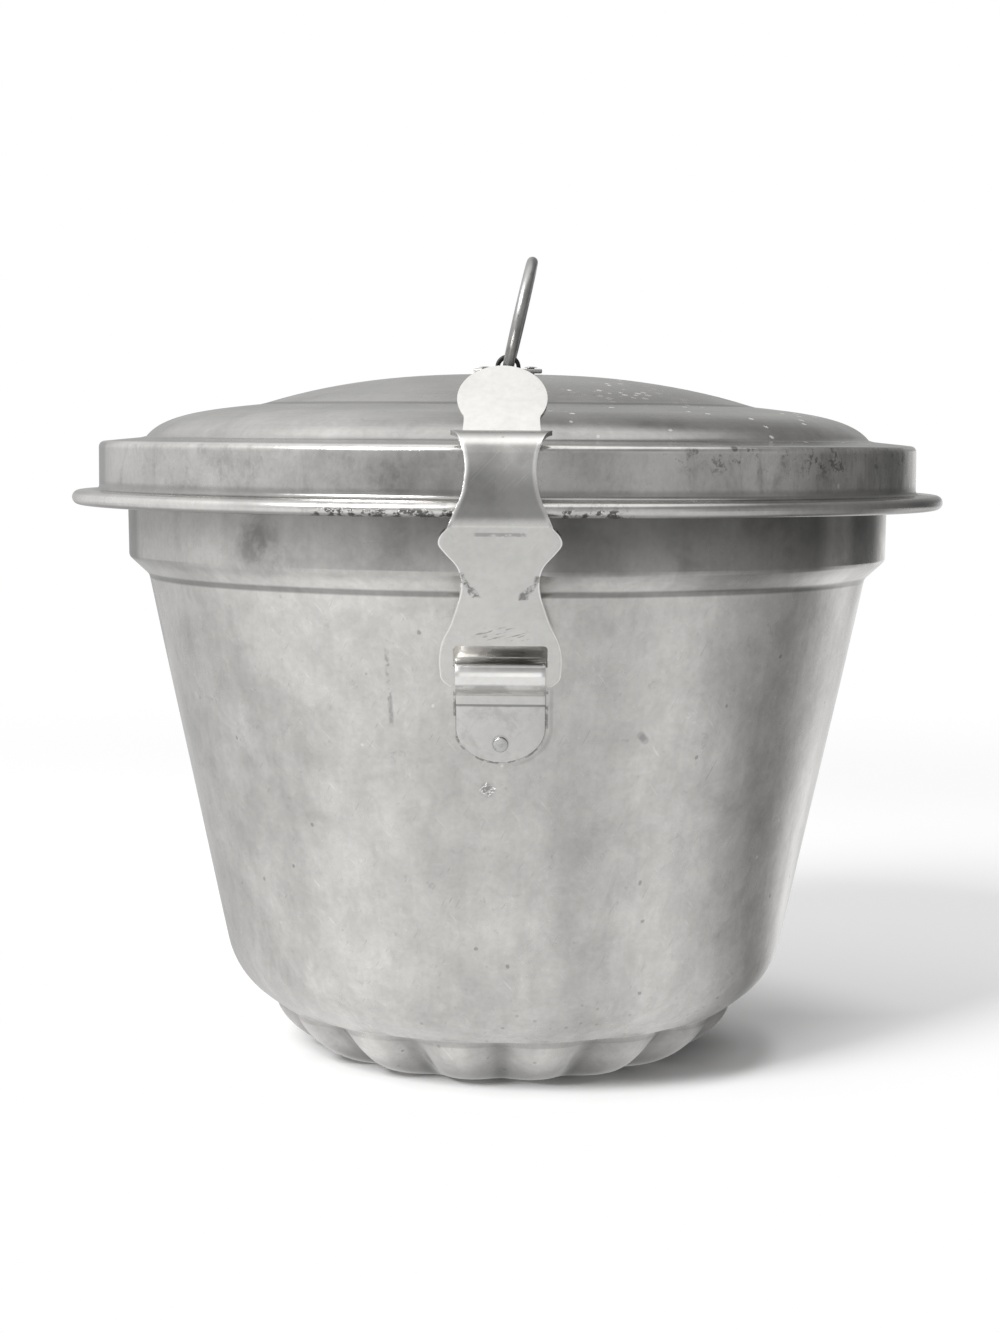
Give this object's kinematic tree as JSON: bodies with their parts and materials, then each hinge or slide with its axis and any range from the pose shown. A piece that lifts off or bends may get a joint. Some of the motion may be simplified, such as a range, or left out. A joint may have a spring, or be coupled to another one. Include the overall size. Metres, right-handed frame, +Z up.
{
  "type": "steamed pudding mould",
  "caption": "Aluminium steamed pudding mould: tapered basin with a fluted crown and centre tube, stepped lid with a lifting ring, and hinged spring clips that hold the lid.",
  "frame": {"origin": "on the surface the mould stands on, at the mould's axis", "axes": "+Z up along the mould's axis, the pictured clip at -Y, +X to the right of that view"},
  "size_m": [0.19, 0.1944, 0.1747],
  "materials": {
    "basin": "aged spun aluminium, satin, lightly stained",
    "tube": "spun aluminium, satin",
    "lid": "aged spun aluminium, darker than the basin, pitted along the flange",
    "saddle": "dark, tarnished",
    "ring": "dull steel wire",
    "clip": "worn sheet, polished by use at the bends",
    "bracket": "worn sheet, the roll polished",
    "rivet": "dull"
  },
  "bodies": {
    "mould": {"basin": "basin", "centre_tube": "tube", "bracket_front": "bracket", "bracket_back": "bracket", "bracket_rivet_front": "rivet", "bracket_rivet_back": "rivet"},
    "cover": {"lid": "lid", "ring_saddle": "saddle", "saddle_rivet_left": "rivet", "saddle_rivet_right": "rivet"},
    "ring": {"ring_handle": "ring"},
    "front_clip": {"clip_front": "clip"},
    "back_clip": {"clip_back": "clip"}
  },
  "joints": [
    {"name": "lid_lift", "type": "slide", "parent": "mould", "child": "cover", "axis": [0, 0, 1], "range_m": [0, 0.03]},
    {"name": "ring_swing", "type": "hinge", "parent": "cover", "child": "ring", "pos_m": [0, 0, 0.15055], "axis": [0, 1, 0], "range_deg": [-103, 78]},
    {"name": "clip_front_swing", "type": "hinge", "parent": "mould", "child": "front_clip", "pos_m": [0, -0.07912, 0.0899], "axis": [1, 0, 0], "range_deg": [0, 155]},
    {"name": "clip_back_swing", "type": "hinge", "parent": "mould", "child": "back_clip", "pos_m": [0, 0.07912, 0.0899], "axis": [-1, 0, 0], "range_deg": [0, 155]}
  ],
  "couplings": [
    {"joint": "clip_front_swing", "follows": "lid_lift", "rad_per_m": 90.17},
    {"joint": "clip_back_swing", "follows": "lid_lift", "rad_per_m": 90.17}
  ]
}
